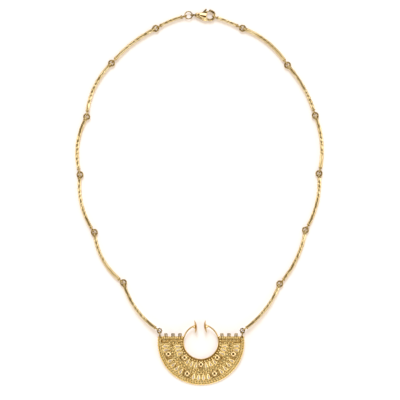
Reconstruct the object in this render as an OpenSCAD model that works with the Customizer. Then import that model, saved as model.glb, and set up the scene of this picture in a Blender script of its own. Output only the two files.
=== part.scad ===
// Gold pendant necklace, lying flat on a table as it rests there, in millimetres.
// X runs to the right, Y toward the clasp and Z up. The table is z = 0.

/* [Chain bars] */
// Thickness of a long bar
bar_d = 1.85; // [1.5:0.05:1.9]
// Thickness of the two short bars beside the clasp
short_bar_d = 1.5; // [1.2:0.05:1.6]
// Wire of a bar's flat eye
flat_wire = 0.9; // [0.75:0.05:0.9]
// Width across a flat eye
flat_eye_w = 3.8; // [3.7:0.05:4]
// Wire of a bar's standing eye
stand_wire = 0.75; // [0.65:0.05:0.75]
// Height of a standing eye, from the table up
stand_eye_h = 2.8; // [2.8:0.05:3]
// Length of the tapered neck between an eye and its bar
neck_len = 1.1; // [0.9:0.05:1.5]

/* [Clasp] */
// Thickness of the clasp's body
clasp_t = 2.6; // [2.4:0.1:2.8]
// Radius of the hook, to the middle of its wire
hook_r = 2.4; // [2.35:0.05:2.45]
// Thickness of the hook's wire
hook_wire = 1.4; // [1.2:0.05:1.4]
// Thickness of the lever
lever_t = 1; // [0.8:0.05:1]
// Gap on each side of the lever, between the body's two cheeks
lever_side_gap = 0.05; // [0.03:0.01:0.08]
// Radius of the rivet that the lever turns on
rivet_r = 0.35; // [0.3:0.01:0.4]
// Running clearance round the rivet
rivet_fit = 0.04; // [0.02:0.01:0.06]
// Jump ring, across its wire's middle
jump_ring_r = 1.95; // [1.9:0.05:2.1]
// Jump ring's wire
jump_wire = 0.6; // [0.5:0.05:0.6]

/* [Pendant] */
// Outer radius of the half disc, over its rim
disc_r = 22.9; // [22:0.1:24]
// Thickness of the pierced plate
plate_t = 0.9; // [0.7:0.05:1.1]
// Height of the straight top edge above the hoop's centre
top_y = 2.8; // [2.4:0.1:3]
// Radius of the open hoop, to the middle of its wire
hoop_r = 9.24; // [9:0.02:9.4]
// Thickness of the hoop's wire
hoop_wire = 0.85; // [0.7:0.05:1]
// Radius of the dished disc on each end of the hoop
dish_r = 3.35; // [3:0.05:3.5]
// Depth of that dish
dish_depth = 1; // [0.8:0.05:1.2]
// Thickness of that dish
dish_t = 0.45; // [0.35:0.05:0.6]
// Radius of a domed stud
stud_r = 1.35; // [1.2:0.05:1.45]
// Radius of an ear, to the middle of its wire
ear_r = 1.1; // [1.05:0.05:1.2]
// Ear's wire
ear_wire = 0.84; // [0.7:0.02:0.84]

/* [Hidden] */
$fn = 48;
link_play = 0.05;
gold = "goldenrod";

// The two strands, from the clasp to the pendant. Each row is a joint: where it lies, and how far
// the bar that starts there bows outward.
JOINT_X = 0;
JOINT_Y = 1;
BOW = 2;
left_joints = [
    [-6.0, 95.8, 0.6],
    [-23.2, 88.9, 1.4],
    [-46.4, 70.6, 2.6],
    [-59.4, 42.6, 2.8],
    [-62.9, 12.2, 2.7],
    [-55.4, -18.0, 2.9],
    [-40.1, -44.4, 2.7]
];
right_joints = [
    [5.2, 95.7, 0.3],
    [22.3, 89.0, 2.4],
    [45.9, 69.6, 1.6],
    [60.4, 43.2, 2.2],
    [62.4, 12.8, 2.2],
    [55.3, -16.8, 2.0],
    [41.8, -45.0, 2.2]
];
bar_count = len(left_joints);
LEFT = -1;
RIGHT = 1;

// Eyes. A flat eye lies level, a standing eye stands on the table and a hook eye, which is
// thinner and wider, stands round the hook. Each radius is to the middle of the wire.
flat_r = (flat_eye_w - flat_wire) / 2;
stand_r = (stand_eye_h - stand_wire) / 2;
hook_eye_wire = 0.6;
hook_eye_r = 1.15;
stand_z = stand_eye_h / 2;
hook_eye_z = hook_eye_r + hook_eye_wire / 2;
eye_drop = 0.08;
flat_z = stand_z - eye_drop;
leg_angle = 50;
leg_close = 0.2;

// Clasp, in its own frame: the tail eye's centre is the origin and the hook lies along +X.
clasp_at = [-3.8, 95.9, stand_z];
hook_at = [9, -0.2];
hook_start = -140;
hook_tip = 86;
rivet_at = [3.2, 0.25];
lever_end = [7.95, 1.7];
tab_root = [5.6, 1.3];
tab_end = [6.9, 2.85];
lever_boss_r = 0.8;
lever_end_r = 0.5;
tab_r = 0.42;
cheek_tail = [2.3, 0];
cheek_tail_r = 1.25;
tail_neck_d = 1.9;
cheek_front = [6.6, -0.95];
cheek_front_r = 2.3;
lever_slot_t = lever_t + 2 * lever_side_gap;
jump_ring_z = stand_z - 0.1;

// Pendant, in its own frame: the hoop's centre is the origin, the plate lies in z = 0 and the
// ears are toward +Y.
pendant_at = [0.5, -75.4];
rim_wire = 1.2;
rim_r = disc_r - rim_wire / 2;
wire_z = plate_t / 2;
rail_y = -0.9;
rail_d = 0.7;
edge_wire = 0.6;
inner_edge_r = 10.2;
band_in_r = 14.35;
band_out_r = 16.45;
border_in_r = 20.5;
border_mid_r = 21.3;
inner_stud_r = 11.8;
outer_stud_r = 18.1;
stud_step = 46.5;
collar_r = 1.85;
collar_h = 0.35;
stud_wall_h = 0.6;
stud_lift = 0.05;
stud_edge_tilt = 50;
zigzag_count = 17;
zigzag_step = 170 / zigzag_count;
zigzag_wire = 0.5;
ear_at = [21.7, 6.05];
ear_neck_d = 0.9;
tooth_wire = 0.5;
tooth_post = 0.75;
tooth_h = 1.35;
tooth_xs = [10.95, 14.65, 18.4];
scroll_xs = [11.5, 13.45, 15.4, 17.35, 19.3];
scroll_y = 0.85;
scroll_r = 0.72;
scroll_wire = 0.42;
left_dish = [-3.1, 8.15];
left_lean = 5;
right_dish = [2.6, 8.25];
right_lean = 6;
dish_neck = 1.5;

// Half the slots on each side of the pendant's middle line, as angles from straight down.
outer_slots = concat(
    [for (i = [0.5, 1.5]) i * 8],
    [for (i = [-1.5, -0.5, 0.5, 1.5]) stud_step + i * 8],
    [77.4, 83.6]
);
inner_slots = concat([for (i = [-1, 0, 1]) stud_step / 2 + i * 11], [61.5, 70.8, 80]);

// The hoop's end discs stand across the plate, so the pendant rests on its rim and on the two
// discs, and its plate leans back by this angle.
dish_span = left_dish[1] + rim_r;
lean_back = asin((dish_r - rim_wire / 2) / dish_span);
pendant_z = rim_r * sin(lean_back) + rim_wire / 2;

function turned(v, a) = [v[0] * cos(a) - v[1] * sin(a), v[0] * sin(a) + v[1] * cos(a)];
function unit(v) = v / norm(v);
function swing(chord, bow) = 2 * atan(2 * bow / chord);
function place(joint) = [joint[JOINT_X], joint[JOINT_Y]];

// How far an eye's centre lies from the centre of the ring that it links with.
function reach(ring_r, ring_wire, eye_r, eye_wire) =
    ring_r + eye_r - (ring_wire + eye_wire) / 2 - link_play;

function joints(side) = side == LEFT ? left_joints : right_joints;
function ear_place(side) = [pendant_at[0] + side * ear_at[0], pendant_at[1] + ear_at[1] * cos(lean_back)];
function joint_place(side, i) = i < bar_count ? place(joints(side)[i]) : ear_place(side);
function bar_bow(side, i) = joints(side)[i][BOW];

// Directions in which bar i leaves its first joint and reaches its last.
function bar_line(side, i) = joint_place(side, i + 1) - joint_place(side, i);
function start_way(side, i) =
    turned(unit(bar_line(side, i)), side * swing(norm(bar_line(side, i)), bar_bow(side, i)));
function end_way(side, i) =
    turned(unit(bar_line(side, i)), -side * swing(norm(bar_line(side, i)), bar_bow(side, i)));

// A point of the pendant's plate, as a height above the table.
function plate_height(y) = pendant_z + (y - pendant_at[1]) * tan(lean_back);

// Where bar i starts: in the jump ring, round the hook, or at its joint.
function short_start(side) = side == LEFT
    ? reach(jump_ring_r, jump_wire, stand_r, stand_wire)
    : reach(hook_r, hook_wire, hook_eye_r, hook_eye_wire);
function bar_start(side, i) =
    joint_place(side, i) + (i == 0 ? short_start(side) : 0) * start_way(side, i);
function bar_end(side, i) = joint_place(side, i + 1) - end_way(side, i)
    * (i == bar_count - 1
        ? reach(ear_r, ear_wire, stand_r, stand_wire)
        : reach(flat_r, flat_wire, stand_r, stand_wire));
function end_z(side, i) = i == bar_count - 1
    ? plate_height(ear_place(side)[1] - ear_r * end_way(side, i)[1])
    : stand_z;
function bar_rise(side, i) = (end_z(side, i) - flat_z) / norm(bar_line(side, i));
function start_z(side, i) = i > 0
    ? flat_z + flat_r * bar_rise(side, i)
    : side == LEFT ? stand_z : hook_eye_z;

// A straight round rod between two points.
module rod(from, to, d) {
    way = to - from;
    translate(from)
        rotate([0, acos(way[2] / norm(way)), atan2(way[1], way[0])])
            cylinder(h = norm(way), d = d);
}

// A ring of round wire, level, or an arc of one from start through sweep degrees.
module wire_ring(r, wire, start = 0, sweep = 360) {
    rotate([0, 0, start])
        rotate_extrude(angle = sweep)
            translate([r, 0])
                circle(d = wire);
}

// The quadrilateral that joins the sides of two circles, the first one at the origin and the
// second reach away along +X. It runs a hair inside the tangents, so that it crosses both cleanly.
function pear_sides(r1, r2, reach) = let (
    side_x = (r1 - r2) / reach,
    side_y = sqrt(1 - side_x * side_x),
    low = r1 - 0.004,
    high = r2 - 0.004
) [
    [low * side_x, low * side_y],
    [reach + high * side_x, high * side_y],
    [reach + high * side_x, -high * side_y],
    [low * side_x, -low * side_y]
];

// An outline of two circles and their joined sides.
module pear(r1, r2, reach) {
    circle(r = r1);
    translate([reach, 0])
        circle(r = r2);
    polygon(pear_sides(r1, r2, reach));
}

// A flat bar of that outline between two places, half its thickness above and below z = 0.
module pear_bar(from, to, r1, r2, thick) {
    way = to - from;
    translate(from)
        rotate([0, 0, atan2(way[1], way[0])]) {
            cylinder(h = thick, r = r1, center = true);
            translate([norm(way), 0, 0])
                cylinder(h = thick, r = r2, center = true);
            linear_extrude(thick, center = true)
                polygon(pear_sides(r1, r2, norm(way)));
        }
}

// An eye of round wire at the origin, whose bar leaves it along +X: the ring, the two legs that
// close on the bar, and the neck that thickens to the bar.
module eye(r, wire, thick) {
    leg = (r * sin(leg_angle) - leg_close) / cos(leg_angle);
    wire_ring(r, wire);
    for (side = [-1, 1])
        rod(
            [r * cos(leg_angle), side * r * sin(leg_angle), 0],
            [r * cos(leg_angle) + leg * sin(leg_angle), side * leg_close, 0],
            wire
        );
    translate([r, 0, 0])
        rotate([0, 90, 0])
            cylinder(h = neck_len, d1 = wire, d2 = thick);
}

// A bowed bar whose two eyes' centres lie chord apart along +X. It bows toward +Y.
module bar_link(chord, bow, thick, start_r, start_wire, start_stands) {
    bend_r = (chord * chord / 4 + bow * bow) / (2 * bow);
    half = asin(chord / 2 / bend_r);
    start_trim = (start_r + neck_len) * 180 / PI / bend_r;
    end_trim = (stand_r + neck_len) * 180 / PI / bend_r;
    translate([chord / 2, bow - bend_r, 0]) {
        wire_ring(bend_r, thick, 90 - half + end_trim, 2 * half - start_trim - end_trim);
        rotate([0, 0, half])
            translate([0, bend_r, 0])
                rotate([start_stands ? 90 : 0, 0, 0])
                    eye(start_r, start_wire, thick);
        rotate([0, 0, -half])
            translate([0, bend_r, 0])
                rotate([90, 0, 180])
                    eye(stand_r, stand_wire, thick);
    }
}

// Bar i of a strand, counted from 0 at the clasp.
module bar(side, i) {
    short = i == 0;
    from = bar_start(side, i);
    to = bar_end(side, i);
    flat_way = to - from;
    chord = norm([flat_way[0], flat_way[1], end_z(side, i) - start_z(side, i)]);
    rise = asin((end_z(side, i) - start_z(side, i)) / chord);
    start_r = !short ? flat_r : side == LEFT ? stand_r : hook_eye_r;
    start_wire = !short ? flat_wire : side == LEFT ? stand_wire : hook_eye_wire;
    color(gold)
        translate([from[0], from[1], start_z(side, i)])
            rotate([0, -rise, atan2(flat_way[1], flat_way[0])])
                mirror([0, side == LEFT ? 1 : 0, 0])
                    bar_link(
                        chord, bar_bow(side, i), short ? short_bar_d : bar_d,
                        start_r, start_wire, short
                    );
}

module jump_ring() {
    color(gold)
        translate([left_joints[0][JOINT_X], left_joints[0][JOINT_Y], jump_ring_z])
            wire_ring(jump_ring_r, jump_wire);
}

// Room for the lever between the cheeks, from its rest to its inner stop.
module lever_room() {
    translate(rivet_at)
        circle(r = lever_boss_r + 0.15);
    polygon([
        rivet_at + [-0.5, 0.8],
        rivet_at + [0.1, -0.95],
        [hook_at[0] - 1, -1],
        [hook_at[0] - 1, 4],
        [rivet_at[0], 4]
    ]);
}

module clasp_body() {
    color(gold)
        translate(clasp_at) {
            difference() {
                union() {
                    difference() {
                        pear_bar(cheek_tail, cheek_front, cheek_tail_r, cheek_front_r, clasp_t);
                        translate(hook_at)
                            cylinder(h = clasp_t + 1, r = hook_r - hook_wire / 2 + 0.15, center = true);
                    }
                    translate(hook_at)
                        wire_ring(hook_r, hook_wire, hook_start, hook_tip - hook_start);
                    translate(hook_at + hook_r * [cos(hook_tip), sin(hook_tip)])
                        sphere(d = hook_wire + 0.06);
                }
                linear_extrude(lever_slot_t, center = true)
                    lever_room();
            }
            translate(rivet_at)
                cylinder(h = clasp_t + 0.2, r = rivet_r, center = true);
            rotate([90, 0, 0])
                eye(stand_r, stand_wire, tail_neck_d);
        }
}

module clasp_lever() {
    color(gold)
        translate(clasp_at)
            difference() {
                union() {
                    pear_bar(rivet_at, lever_end, lever_boss_r, lever_end_r, lever_t);
                    pear_bar(tab_root, tab_end, lever_end_r, tab_r, lever_t);
                }
                translate(rivet_at)
                    cylinder(h = lever_t + 1, r = rivet_r + rivet_fit, center = true);
            }
}

// A wire along a circle of the plate, which ends on both sides at the height end_y.
module plate_wire(r, wire, z, end_y) {
    over = asin(end_y / r);
    translate([0, 0, z])
        wire_ring(r, wire, 180 - over, 180 + 2 * over);
}

// One slot, wide at its outer end, at an angle from straight down.
module slot(angle, from_r, to_r, narrow, wide) {
    rotate(angle - 90)
        translate([from_r, 0])
            pear(narrow, wide, to_r - from_r);
}

module plate() {
    linear_extrude(plate_t, center = true)
        difference() {
            intersection() {
                circle(r = rim_r);
                translate([-disc_r, -disc_r])
                    square([2 * disc_r, disc_r + top_y]);
            }
            circle(r = hoop_r);
            for (side = [-1, 1], angle = outer_slots)
                slot(side * angle, 17.4, 19.35, 0.25, 0.72);
            for (side = [-1, 1], angle = inner_slots)
                slot(side * angle, 11.15, 13.2, 0.25, 0.65);
        }
}

// Low dome on a short upright wall. Its surface tilts by stud_edge_tilt where it meets the wall.
module stud(angle, r) {
    dome_r = stud_r / sin(stud_edge_tilt);
    rotate([0, 0, angle - 90])
        translate([r, 0, wire_z]) {
            cylinder(h = collar_h, r = collar_r);
            translate([0, 0, collar_h])
                wire_ring(collar_r - 0.25, 0.5);
            intersection() {
                translate([0, 0, stud_lift])
                    cylinder(h = 2 * stud_r, r = stud_r);
                translate([0, 0, stud_wall_h - dome_r * cos(stud_edge_tilt)])
                    sphere(r = dome_r);
            }
        }
}

// Zigzag wire between the two middle wires.
module zigzag() {
    low = band_in_r + 0.25;
    high = band_out_r - 0.25;
    z = wire_z + 0.1;
    for (i = [0:zigzag_count - 1]) {
        a = -175 + i * zigzag_step;
        b = a + zigzag_step / 2;
        c = a + zigzag_step;
        rod([low * cos(a), low * sin(a), z], [high * cos(b), high * sin(b), z], zigzag_wire);
        rod([high * cos(b), high * sin(b), z], [low * cos(c), low * sin(c), z], zigzag_wire);
    }
}

// One tooth of the crown along the top edge: two small loops side by side.
module tooth(x) {
    for (step = [-1, 0, 1])
        rod([x + step * tooth_post, top_y - 0.4, 0], [x + step * tooth_post, top_y + tooth_h, 0], tooth_wire);
    for (step = [-0.5, 0.5])
        translate([x + step * tooth_post, top_y + tooth_h, 0])
            wire_ring(tooth_post / 2, tooth_wire, 0, 180);
}

module top_band(side) {
    inner_x = sqrt(hoop_r * hoop_r - top_y * top_y);
    outer_x = sqrt(rim_r * rim_r - top_y * top_y);
    rod([side * inner_x, top_y - 0.1, 0], [side * outer_x, top_y - 0.1, 0], plate_t);
    rod([side * hoop_r, rail_y, wire_z], [side * (rim_r - 0.1), rail_y, wire_z], rail_d);
    for (x = scroll_xs)
        translate([side * x, scroll_y, wire_z + 0.05])
            wire_ring(scroll_r, scroll_wire);
    for (x = tooth_xs)
        tooth(side * x);
}

module ear(side) {
    corner = [side * (ear_at[0] - 0.3), top_y - 0.6, 0];
    translate([side * ear_at[0], ear_at[1], 0])
        wire_ring(ear_r, ear_wire);
    rod(corner, [side * ear_at[0], ear_at[1] - ear_r, 0], ear_neck_d);
}

// A dished disc on an end of the hoop. It bulges along +X and its neck runs along -X.
module dish() {
    ball_r = (dish_r * dish_r + dish_depth * dish_depth) / (2 * dish_depth);
    rotate([0, 90, 0]) {
        intersection() {
            translate([0, 0, dish_depth - ball_r])
                difference() {
                    sphere(r = ball_r, $fn = 128);
                    sphere(r = ball_r - dish_t, $fn = 128);
                }
            translate([0, 0, -dish_t / 4])
                cylinder(h = dish_depth + dish_t, r = dish_r);
        }
        translate([0, 0, -dish_neck])
            cylinder(h = dish_neck + dish_depth - dish_t / 2, r1 = hoop_wire / 2, r2 = 1.2);
    }
}

module hoop() {
    left_neck = left_dish - dish_neck * [cos(left_lean), sin(left_lean)];
    right_neck = right_dish + dish_neck * [cos(right_lean), sin(right_lean)];
    left_a = atan2(left_neck[1], left_neck[0]);
    right_a = atan2(right_neck[1], right_neck[0]);
    wire_ring(hoop_r, hoop_wire, left_a, 360 + right_a - left_a);
    translate([left_dish[0], left_dish[1], 0])
        rotate([0, 0, left_lean])
            dish();
    translate([right_dish[0], right_dish[1], 0])
        rotate([0, 0, 180 + right_lean])
            dish();
    for (neck = [left_neck, right_neck])
        translate([neck[0], neck[1], 0])
            sphere(d = hoop_wire + 0.15);
}

module pendant() {
    color(gold)
        translate([pendant_at[0], pendant_at[1], pendant_z])
            rotate([lean_back, 0, 0]) {
                plate();
                hoop();
                plate_wire(rim_r, rim_wire, 0, top_y);
                plate_wire(border_mid_r, 0.8, wire_z, top_y - 0.4);
                plate_wire(border_in_r, edge_wire, wire_z, rail_y);
                plate_wire(inner_edge_r, edge_wire, wire_z, top_y - 0.4);
                plate_wire(band_in_r, edge_wire, wire_z, rail_y);
                plate_wire(band_out_r, edge_wire, wire_z, rail_y);
                zigzag();
                for (i = [-1, 0, 1])
                    stud(i * stud_step, inner_stud_r);
                for (i = [-1.5, -0.5, 0.5, 1.5])
                    stud(i * stud_step, outer_stud_r);
                for (side = [LEFT, RIGHT]) {
                    top_band(side);
                    ear(side);
                }
            }
}

clasp_body();
clasp_lever();
jump_ring();
for (i = [1:bar_count]) {
    bar(LEFT, i - 1);
    bar(RIGHT, i - 1);
}
pendant();
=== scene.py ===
# %% [markdown]
# # A gold necklace of twisted bars, with a half-disc filigree pendant
#
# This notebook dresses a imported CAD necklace. The chain is made of bowed bars that link by their
# eyes, a lobster clasp closes it, and a pierced half disc hangs from the last two bars. Every cell
# makes one kind of piece the way a goldsmith would: draw a wire, twist it, bend it, solder it on.
#
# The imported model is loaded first. It is the frame: each new piece goes exactly where the frame
# has its solid, and it rides on one of the frame's bodies.

# %% Load the frame
import random
from contextlib import contextmanager
from math import acos, asin, atan, atan2, cos, degrees, pi, radians, sin, sqrt, tan

import bmesh
import bpy
from mathutils import Matrix, Vector


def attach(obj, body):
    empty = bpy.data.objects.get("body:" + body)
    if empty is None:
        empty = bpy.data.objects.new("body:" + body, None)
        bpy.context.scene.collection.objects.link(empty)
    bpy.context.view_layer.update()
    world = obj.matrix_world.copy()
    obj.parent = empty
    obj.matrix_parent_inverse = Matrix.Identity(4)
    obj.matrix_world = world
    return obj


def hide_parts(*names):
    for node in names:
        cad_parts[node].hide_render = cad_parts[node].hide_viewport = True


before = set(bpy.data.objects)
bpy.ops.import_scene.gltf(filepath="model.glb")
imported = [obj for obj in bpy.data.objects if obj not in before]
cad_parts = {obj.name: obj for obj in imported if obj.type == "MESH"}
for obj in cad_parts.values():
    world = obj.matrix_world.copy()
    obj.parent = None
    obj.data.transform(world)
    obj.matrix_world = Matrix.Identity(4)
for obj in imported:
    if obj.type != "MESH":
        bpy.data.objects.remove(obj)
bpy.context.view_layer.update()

MM = 0.001
FULL_TURN, QUARTER = 2 * pi, pi / 2


def mm(*lengths):
    return [length * MM for length in lengths]


# %% [markdown]
# ## Working by hand in code
#
# Blender's edit mode works on whatever is selected, and the frame's own nodes are selected after
# loading. So each piece starts from an empty selection. `editing` opens one piece, `pick` selects
# by a test, as a box select would, and `draw`, `spin` and `stretch` work on what is selected.

# %% Selecting and editing
def let_go():
    """Leaves edit mode and selects nothing."""
    if bpy.context.object and bpy.context.object.mode != "OBJECT":
        bpy.ops.object.mode_set(mode="OBJECT")
    bpy.ops.object.select_all(action="DESELECT")


def take(*pieces):
    """Selects these pieces alone, the first one active."""
    let_go()
    for piece in pieces:
        piece.select_set(True)
    bpy.context.view_layer.objects.active = pieces[0]
    return pieces[0]


def settle(piece):
    """Moves the piece's place, turn and scale into its mesh."""
    take(piece)
    bpy.ops.object.transform_apply(location=True, rotation=True, scale=True)
    return piece


def fresh(add, **settings):
    """A new primitive, its place and turn moved into its mesh."""
    let_go()
    add(**settings)
    return settle(bpy.context.object)


@contextmanager
def editing(piece):
    """Edit mode on one piece with all of it selected, and object mode again afterwards."""
    take(piece)
    bpy.ops.object.mode_set(mode="EDIT")
    bpy.ops.mesh.select_mode(type="VERT")
    bpy.ops.mesh.select_all(action="SELECT")
    yield
    bpy.ops.object.mode_set(mode="OBJECT")


def pick(test, what="VERT"):
    """Selects the points, edges or faces that pass the test."""
    bpy.ops.mesh.select_mode(type=what)
    bpy.ops.mesh.select_all(action="DESELECT")
    mesh = bmesh.from_edit_mesh(bpy.context.object.data)
    for item in {"VERT": mesh.verts, "EDGE": mesh.edges, "FACE": mesh.faces}[what]:
        item.select_set(bool(test(item)))
    mesh.select_flush_mode()
    bmesh.update_edit_mesh(bpy.context.object.data)


def draw(way):
    """Extrudes what is selected along a straight way."""
    bpy.ops.mesh.extrude_region_move(TRANSFORM_OT_translate={"value": way})


def spin(steps, angle, middle=(0, 0, 0)):
    """Extrudes what is selected round a middle, clockwise for a positive angle."""
    bpy.ops.mesh.spin(steps=steps, angle=angle, center=middle, axis=(0, 0, 1))


def stretch(value, middle, **soft):
    """Scales what is selected about a middle."""
    bpy.ops.transform.resize(value=value, center_override=middle, **soft)


def closed_ends():
    """Caps every open end of the piece."""
    bpy.ops.mesh.select_mode(type="EDGE")
    bpy.ops.mesh.select_all(action="DESELECT")
    bpy.ops.mesh.select_non_manifold()
    bpy.ops.mesh.fill_holes(sides=0)


# %% [markdown]
# ## Placing, joining and finishing
#
# A repeated part is modelled once and stamped where it stands. `finish` names a piece, gives it its
# metal and hands it to a body. Two numbers go with each point for the metals to use: `steep` says
# how upright the surface is there, and the metals paint upright flanks darker with it, as painted
# shade. `flamed` says how dark the metal is painted there: brown skin at the
# chain's joints and the clasp's tail, painted shade and painted dark reflections on the clasp's hook
# and flank, the jump ring, the crown and the ears, and the lever darkened all over.

# %% From parts to a finished piece
def shift(x, y=0, z=0):
    return Matrix.Translation((x, y, z))


def turn(angle, axis="Z"):
    return Matrix.Rotation(angle, 4, axis)


def placed(piece, move):
    """Moves the points of a piece by a matrix."""
    piece.data.transform(move)
    return piece


def modify(piece, kind, **settings):
    """Adds one modifier and applies it at once."""
    take(piece)
    modifier = piece.modifiers.new(kind.title(), kind)
    for name, value in settings.items():
        setattr(modifier, name, value)
    bpy.ops.object.modifier_apply(modifier=modifier.name)
    return piece


def twisted(piece, angle, limits=(0, 1)):
    """Twists a piece round X, all of it or between two shares of its length."""
    twist = {"deform_method": "TWIST", "deform_axis": "X", "angle": angle, "limits": limits}
    return modify(piece, "SIMPLE_DEFORM", **twist)


def bent(piece, angle):
    """Bends a piece that lies along X, in the plane of the table."""
    return modify(piece, "SIMPLE_DEFORM", deform_method="BEND", deform_axis="Z", angle=angle)


def join(pieces, name):
    piece = take(*pieces)
    if len(pieces) > 1:
        bpy.ops.object.join()
    piece.name = name
    piece.data.name = name
    return piece


def stamped(model, places):
    """Copies of a model piece, one for each place, joined. The model is used up."""
    copies = []
    for place in places:
        copy = bpy.data.objects.new(model.name, model.data.copy())
        bpy.context.collection.objects.link(copy)
        copies.append(placed(copy, place))
    bpy.data.objects.remove(model)
    return join(copies, "stamped")


def tidy_mesh(piece, smooth_deg=40):
    """Doubles merged, faces outward, shaded smooth but for its sharp edges."""
    with editing(piece):
        bpy.ops.mesh.remove_doubles(threshold=0.0001 * MM)
        bpy.ops.mesh.normals_make_consistent(inside=False)
    bpy.ops.object.shade_smooth_by_angle(angle=radians(smooth_deg))
    return piece


def noted(piece, name, share):
    """Writes a number from 0 to 1 on each point."""
    notes = piece.data.attributes.new(name, "FLOAT", "POINT")
    for point in piece.data.vertices:
        notes.data[point.index].value = min(1, max(0, share(point)))
    return piece


def flamed(piece, share=lambda co: 1):
    """Notes how dark the metal is painted at each place: brown skin at the joints, and painted shade and
    painted dark reflections elsewhere.
    """
    return noted(piece, "flamed", lambda point: share(point.co))


def finish(piece, name, material, nodes, body="necklace"):
    """Names a piece, gives it its finish and lets it stand for its CAD nodes."""
    noted(settle(piece), "steep", lambda point: 1 - abs(point.normal.z))
    piece.name = name
    piece.data.name = name
    piece.data.materials.clear()
    piece.data.materials.append(material)
    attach(piece, body)
    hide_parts(*nodes)
    print(name, sum(len(face.vertices) - 2 for face in piece.data.polygons), "triangles")
    return piece


# %% [markdown]
# ## Shader maths in plain expressions
#
# A finish is a graph of nodes. The small class below wraps a socket, so that `1 - mask * 0.5`
# adds the Math nodes by itself, and `Graph.node` adds any other node from its type, its settings
# and what goes into its sockets.

# %% A socket with arithmetic, and a graph to put nodes in
class Value:
    def __init__(self, graph, socket):
        self.graph = graph
        self.socket = socket

    def between(self, low, high):
        """0 up to low, 1 from high on, and smooth in between."""
        settings = {"interpolation_type": "SMOOTHSTEP"}
        return self.graph.node("ShaderNodeMapRange", settings, self, low, high, 0.0, 1.0)


def arithmetic(operation, swapped=False):
    def method(self, other):
        terms = (other, self) if swapped else (self, other)
        return self.graph.node("ShaderNodeMath", {"operation": operation}, *terms)
    return method


for sign, operation in (("add", "ADD"), ("sub", "SUBTRACT"), ("mul", "MULTIPLY"), ("truediv", "DIVIDE")):
    setattr(Value, f"__{sign}__", arithmetic(operation))
    setattr(Value, f"__r{sign}__", arithmetic(operation, swapped=True))


class Graph:
    """A node tree that is filled by expressions."""

    def __init__(self, tree):
        self.tree = tree

    def node(self, kind, settings=None, *terms, out=0, **sockets):
        node = self.tree.nodes.new(kind)
        for name, value in (settings or {}).items():
            setattr(node, name, value)
        for place, term in list(enumerate(terms)) + list(sockets.items()):
            self.put(term, node.inputs[place])
        return Value(self, node.outputs[out])

    def put(self, term, socket):
        if isinstance(term, Value):
            self.tree.links.new(term.socket, socket)
        elif socket.type == "RGBA":
            socket.default_value = (*term, 1)
        else:
            socket.default_value = term

    def split(self, vector):
        """The three numbers of a vector."""
        first = self.node("ShaderNodeSeparateXYZ", None, vector)
        return [Value(self, first.socket.node.outputs[i]) for i in range(3)]

    def mixed(self, mask, low, high):
        """One colour where the mask is 0 and another where it is 1."""
        mix = self.node("ShaderNodeMix", {"data_type": "RGBA"}, mask, out=2).socket.node
        self.put(low, mix.inputs[6])
        self.put(high, mix.inputs[7])
        return Value(self, mix.outputs[2])


EDGE_TINT = (0.78, 0.64, 0.42)


class Finish(Graph):
    """A procedural metal: its principled shader and the nodes that feed it."""

    def __init__(self, name, colour, roughness, metallic=1.0):
        self.material = bpy.data.materials.new(name)
        self.material.use_nodes = True
        self.material.diffuse_color = (*colour, 1)
        super().__init__(self.material.node_tree)
        self.shader = next(n for n in self.tree.nodes if n.type == "BSDF_PRINCIPLED")
        self.feed("Metallic", metallic)
        self.feed("Roughness", roughness)
        self.feed("Base Color", colour)
        self.feed("Specular Tint", EDGE_TINT)

    def feed(self, socket, value):
        self.put(value, self.shader.inputs[socket])

    def noise(self, size, detail=2.0):
        """Soft clouds whose lumps are about that size, in the piece's own coordinates."""
        place = self.node("ShaderNodeTexCoord", out="Object")
        return self.node("ShaderNodeTexNoise", Vector=place, Scale=1 / size, Detail=detail)

    def note(self, name):
        """What noted() wrote on the mesh under that name."""
        return self.node("ShaderNodeAttribute", {"attribute_name": name}, out=2)

    def flame_skin(self):
        """The brown skin and the painted shade and dark reflections noted on the mesh, worn off in small
        patches.
        """
        return self.note("flamed") * (1 - 0.7 * self.noise(0.7 * MM, 2.0).between(0.4, 0.62))

    def shaded(self, low, high, flat, upright):
        """The base colour: one for what lies flat, and another, darker, for upright flanks as painted
        shade.
        """
        self.feed("Base Color", self.mixed(self.note("steep").between(low, high), flat, upright))

    def bump(self, height, depth):
        """Raises the surface by height times depth, in metres."""
        self.feed("Normal", self.node("ShaderNodeBump", Height=height, Distance=depth))


# %% [markdown]
# ## The chain's measures
#
# The frame was drawn in millimetres from two short tables: where the joints of each strand lie, and
# how far the bar that starts there bows outward. The same tables place the twisted bars here, so
# that each one lies exactly over its solid. The last joint of a strand is the pendant's ear.

# %% Joints, eyes and wires of the chain
BAR, SHORT_BAR = mm(1.85, 1.5)
FLAT_R, FLAT_WIRE = mm(1.45, 0.9)
STAND_R, STAND_WIRE = mm(1.025, 0.75)
HOOK_EYE_R, HOOK_EYE_WIRE = mm(1.15, 0.6)
JUMP_RING_R, JUMP_WIRE = mm(1.95, 0.6)
HOOK_R, HOOK_WIRE = mm(2.4, 1.4)
NECK, PLAY = mm(1.1, 0.05)
STAND_Z = 1.4 * MM
FLAT_Z = STAND_Z - 0.08 * MM

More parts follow.
